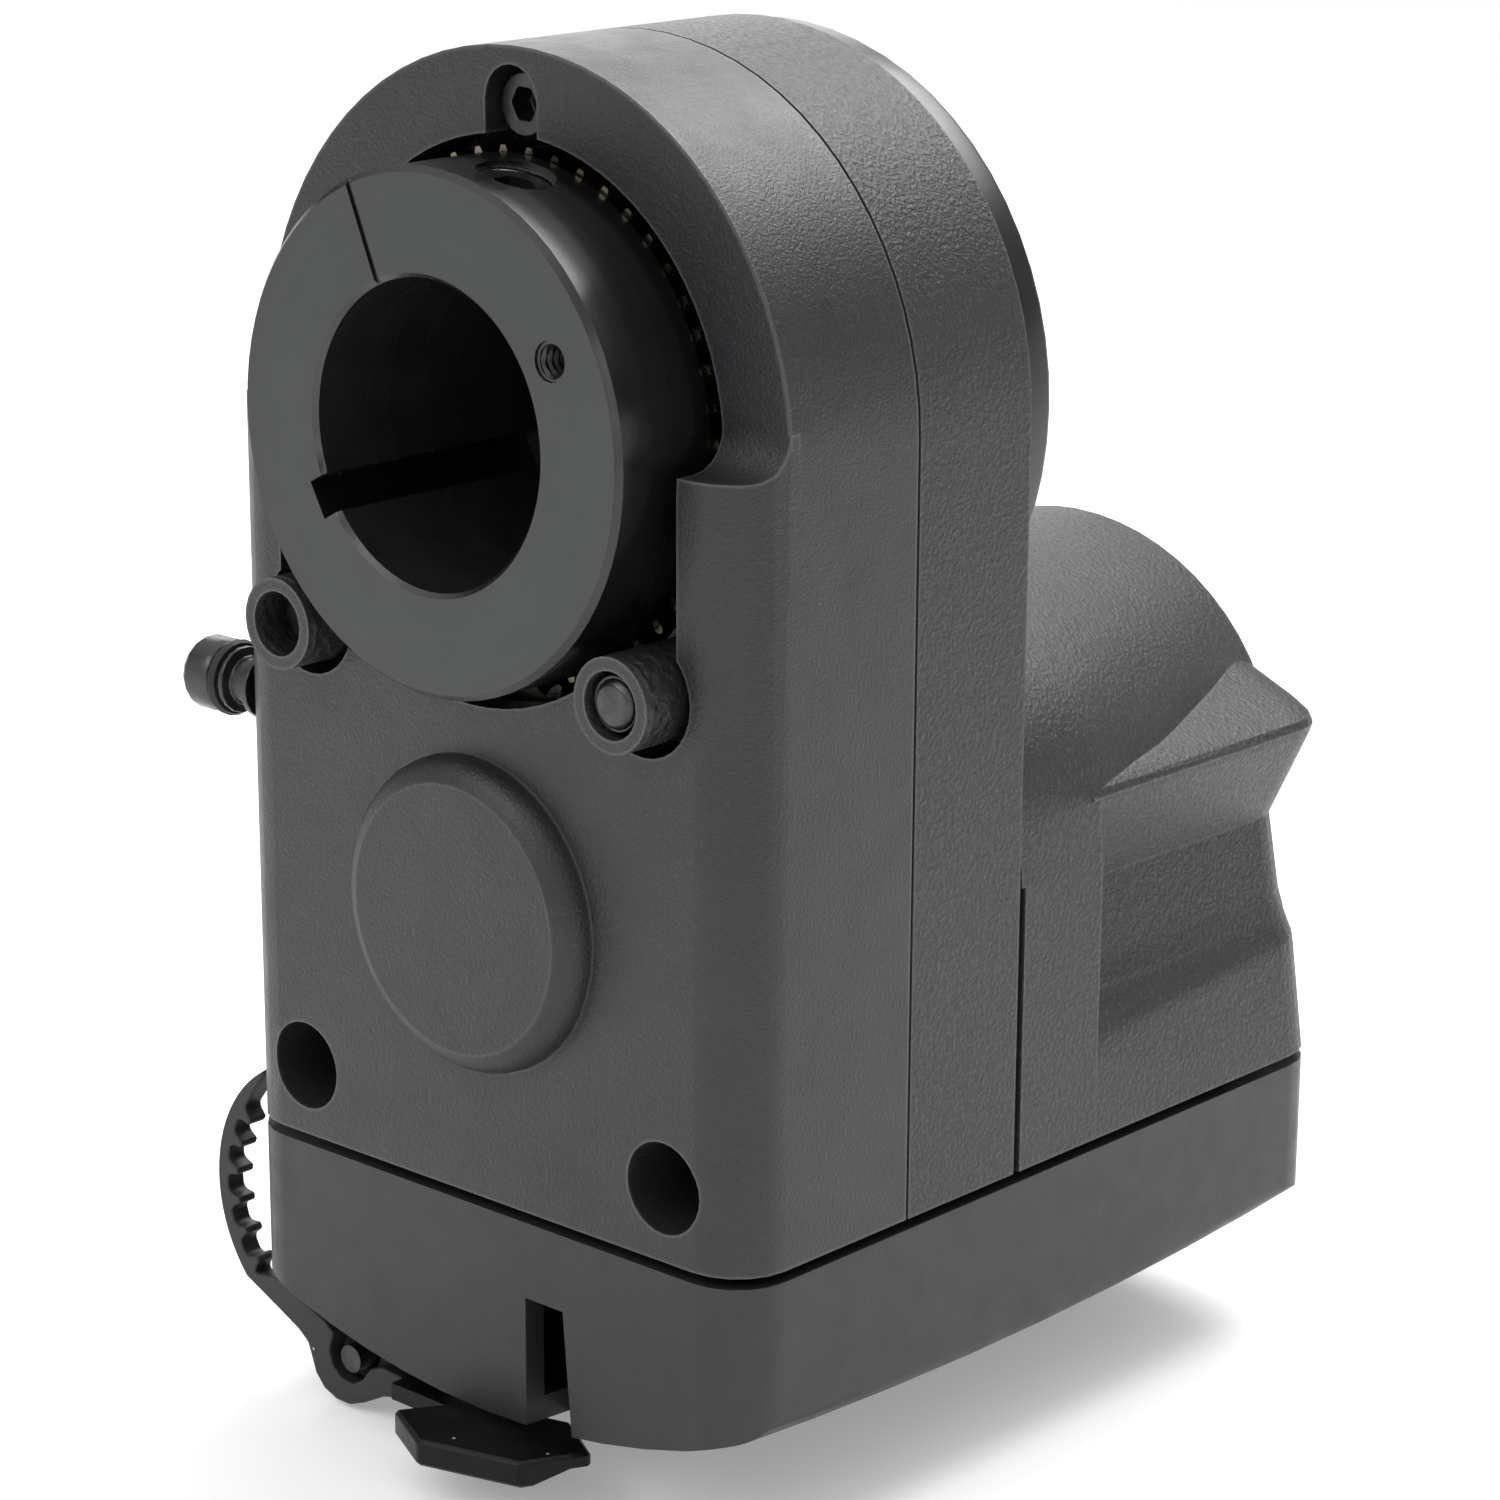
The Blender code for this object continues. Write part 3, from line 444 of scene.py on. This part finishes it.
def soften_edges():
    """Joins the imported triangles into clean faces, rounds the edges and shades the curves smooth."""
    smooth = smoothing_group()
    for name, node in NODES.items():
        weld = node.modifiers.new("join", "WELD")
        weld.merge_threshold = JOIN_DISTANCE * MM
        flat = node.modifiers.new("flat_faces", "DECIMATE")
        flat.decimate_type = "DISSOLVE"
        flat.angle_limit = FLAT_ANGLE
        if name in EDGE_ROUNDING:
            edge = node.modifiers.new("rounded_edges", "BEVEL")
            edge.width = EDGE_ROUNDING[name] * MM
            edge.segments = ROUNDING_SEGMENTS
            edge.limit_method = "ANGLE"
            edge.angle_limit = ROUNDED_ANGLE
            edge.use_clamp_overlap = True
            edge.miter_outer = "MITER_ARC"
        shade = node.modifiers.new("smooth", "NODES")
        shade.node_group = smooth
        normals = node.modifiers.new("even_normals", "WEIGHTED_NORMAL")
        normals.keep_sharp = True


# ---------------------------------------------------------------- small details, in millimetres


REARWARD = (0, 1, 0)
CONTACTS = 6
CONTACT_PITCH = 1.27


def solid(name, verts, faces, body, slot):
    """A detail made from points in millimetres, which rides on a body."""
    mesh = bpy.data.meshes.new(name)
    mesh.from_pydata([Vector(v) * MM for v in verts], [], faces)
    shape = bmesh.new()
    shape.from_mesh(mesh)
    bmesh.ops.recalc_face_normals(shape, faces=shape.faces)
    shape.to_mesh(mesh)
    shape.free()
    mesh.materials.append(FINISHES[slot])
    made = bpy.data.objects.new(name, mesh)
    bpy.context.scene.collection.objects.link(made)
    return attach(made, body)


def thread(name, place, body, slot, length, crest, root, plain, pitch):
    """A threaded sleeve along +X of place: a helical ridge from root to crest, and a plain face on its other
    side. Crest, root and plain are radii, and in a hole the crest is the least of them."""
    around = 32
    rows_per_turn = 6
    rows = int(rows_per_turn * length / pitch)
    verts = []
    for row in range(rows + 1):
        for ridged in (True, False):
            for i in range(around):
                phase = (row / rows_per_turn - i / around) % 1.0
                radius = root + (crest - root) * abs(2 * phase - 1) if ridged else plain
                turn = 2 * math.pi * i / around
                point = (length * row / rows, radius * math.cos(turn), radius * math.sin(turn))
                verts.append(place @ Vector(point))
    faces = []
    for i in range(around):
        j = (i + 1) % around
        for row in range(rows):
            low, high = 2 * around * row, 2 * around * (row + 1)
            faces.append((low + i, low + j, high + j, high + i))
            faces.append((low + around + i, high + around + i, high + around + j, low + around + j))
        for end in (0, 2 * around * rows):
            faces.append((end + i, end + around + i, end + around + j, end + j))
    return solid(name, verts, faces, body, slot)


def pointing(start, direction):
    """A placement whose +X runs from start along direction."""
    turn = Vector(direction).to_track_quat("X", "Z").to_matrix().to_4x4()
    return Matrix.Translation(start) @ turn


def middle_of(node):
    low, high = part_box(node)
    return (low + high) / 2 / MM


def face_hole_thread():
    """The thread of the hole in the collar's face."""
    circle, angle, sunk = 16.2, math.radians(29.0), 0.2
    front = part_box("drive_collar")[0].y / MM
    start = (circle * math.cos(angle), front + sunk, circle * math.sin(angle))
    sizes = {"length": 6.6, "crest": 1.26, "root": 1.52, "plain": 1.60, "pitch": 0.7}
    thread("face_hole_thread", pointing(start, REARWARD), "collar", "black_oxide_steel", **sizes)


def set_screw_hole_thread():
    """The thread round the collar's set screw, which ends just under the collar's outside."""
    start_radius = 17.6
    screw = middle_of("collar_set_screw")
    outward = Vector((screw.x, 0, screw.z)).normalized()
    start = outward * start_radius + Vector((0, screw.y, 0))
    sizes = {"length": 3.3, "crest": 3.03, "root": 3.18, "plain": 3.24, "pitch": 0.8}
    thread("set_screw_hole_thread", pointing(start, outward), "collar", "bright_steel", **sizes)


def captive_screw_threads():
    """The threads on the two captive screws, which start just behind the chamfers of their tips."""
    chamfer = 0.55
    sizes = {"length": 14.0, "crest": 2.36, "root": 2.12, "plain": 2.0, "pitch": 0.7}
    for side in ("left", "right"):
        node = "captive_screw_" + side
        start = middle_of(node)
        start.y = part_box(node)[0].y / MM + chamfer
        body = side + "_captive_screw"
        thread(side + "_screw_thread", pointing(start, REARWARD), body, "black_oxide_steel", **sizes)


def bar(start, end, width, depth):
    """The points and faces of a straight bar of rectangular section in the plane across X."""
    start, end = Vector(start), Vector(end)
    across = Vector((1, 0, 0)) * width / 2
    up = (end - start).normalized().cross(Vector((1, 0, 0))) * depth / 2
    corners = [(-1, -1), (1, -1), (1, 1), (-1, 1)]
    verts = [point + across * a + up * b for point in (start, end) for a, b in corners]
    faces = [(0, 1, 2, 3), (4, 5, 6, 7), (0, 1, 5, 4), (1, 2, 6, 5), (2, 3, 7, 6), (3, 0, 4, 7)]
    return verts, faces


def socket_contacts():
    """The spring contacts in the hand control's socket, which slope down from near its roof."""
    low, high = (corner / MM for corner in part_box("hand_control_socket"))
    center = (low.x + high.x) / 2
    for index in range(CONTACTS):
        x = center + CONTACT_PITCH * (index - (CONTACTS - 1) / 2)
        start = (x, low.y + 4.5, high.z - 1.35)
        end = (x, low.y + 10.5, high.z - 3.6)
        shape = bar(start, end, width=0.45, depth=0.25)
        solid("socket_contact_%d" % (index + 1), *shape, "case", "brass")


def usb_tongue():
    """The tongue in the middle of the USB socket."""
    low, high = (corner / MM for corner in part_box("usb_socket"))
    center = (low + high) / 2
    start = (center.x, low.y + 3.2, center.z)
    end = (center.x, high.y - 1.0, center.z)
    shape = bar(start, end, width=4.6, depth=0.7)
    solid("usb_tongue", *shape, "case", "satin_plastic")


# ---------------------------------------------------------------- stage


FLOOR_SIZE = 8.0
FLOOR_GAP = 0.0005
FLOOR_GLOW = 0.27
CEILING_GLOW = 1.30

# The room's brightness against the ceiling's, by the sine of the height over the horizon
ROOM_GLOW = ((0.0, 0.77), (0.075, 0.77), (0.13, 0.08), (0.25, 0.09), (0.90, 1.0))

# Each light's name, its place, its width and height, and its watts; all of them face the middle of the part
LIGHTS = (
    ("top_softbox", (0.02, 0.42, 0.48), (0.42, 0.34), 3.6),
    ("rear_softbox", (-0.50, 0.50, 0.26), (0.40, 0.36), 1.05),
    ("front_softbox", (-0.18, -0.64, 0.50), (0.5, 0.5), 2.2),
    ("edge_strip", (0.55, -0.60, 0.22), (0.10, 0.45), 0.35),
)

CAMERA_PLACE = (0.24328, -0.23336, 0.06918)
CAMERA_DEGREES = (73.09, 0.30, 43.90)
FOCAL_LENGTH = 103.1
LENS_SHIFT = (0.1014, 0.0554)
NEAREST_VISIBLE = 0.01


def pale_floor():
    place = (0, 0, CAD_BOX[0].z - FLOOR_GAP)
    bpy.ops.mesh.primitive_plane_add(size=FLOOR_SIZE, location=place)
    floor = bpy.context.object
    floor.name = "pale_floor"
    paint = Paint("pale_floor", Specular_IOR_Level=0.1)
    paint.color(paint.tint(paint.noise(150, detail=3.0), *FLOOR_WHITE))
    paint.rough(paint.uneven(paint.noise(50), 0.85, 0.95))
    paint.shader.inputs["Emission Color"].default_value = WHITE
    paint.shader.inputs["Emission Strength"].default_value = FLOOR_GLOW
    floor.data.materials.append(paint.material)


def white_room():
    """A room with a bright ceiling, dim walls and a bright strip just over the horizon."""
    world = bpy.data.worlds.new("white_room")
    bpy.context.scene.world = world
    world.use_nodes = True
    nodes, links = world.node_tree.nodes, world.node_tree.links
    direction = nodes.new("ShaderNodeTexCoord").outputs["Generated"]
    height = nodes.new("ShaderNodeSeparateXYZ")
    room = nodes.new("ShaderNodeValToRGB")
    levels = room.color_ramp.elements
    while len(levels) < len(ROOM_GLOW):
        levels.new(1.0)
    for level, (z, glow) in zip(levels, ROOM_GLOW):
        level.position = z
        level.color = (glow, glow, glow, 1.0)
    strength = nodes.new("ShaderNodeMath")
    strength.operation = "MULTIPLY"
    strength.inputs[1].default_value = CEILING_GLOW
    links.new(direction, height.inputs[0])
    links.new(height.outputs["Z"], room.inputs["Fac"])
    links.new(room.outputs["Color"], strength.inputs[0])
    links.new(strength.outputs[0], nodes["Background"].inputs["Strength"])
    nodes["Background"].inputs["Color"].default_value = WHITE


def soft_lights():
    middle = (CAD_BOX[0] + CAD_BOX[1]) / 2
    for name, place, size, watts in LIGHTS:
        light = bpy.data.lights.new(name, "AREA")
        light.shape = "RECTANGLE"
        light.size, light.size_y = size
        light.energy = watts
        lamp = bpy.data.objects.new(name, light)
        bpy.context.scene.collection.objects.link(lamp)
        lamp.location = place
        lamp.rotation_euler = (middle - Vector(place)).to_track_quat("-Z", "Y").to_euler()


def camera():
    lens = bpy.data.cameras.new("view")
    lens.lens = FOCAL_LENGTH
    lens.shift_x, lens.shift_y = LENS_SHIFT
    lens.clip_start = NEAREST_VISIBLE
    made = bpy.data.objects.new("view", lens)
    bpy.context.scene.collection.objects.link(made)
    made.location = CAMERA_PLACE
    made.rotation_euler = [math.radians(angle) for angle in CAMERA_DEGREES]
    bpy.context.scene.camera = made
    bpy.context.scene.view_settings.view_transform = "Standard"


paint_nodes()
soften_edges()
face_hole_thread()
set_screw_hole_thread()
captive_screw_threads()
socket_contacts()
usb_tongue()
pale_floor()
white_room()
soft_lights()
camera()
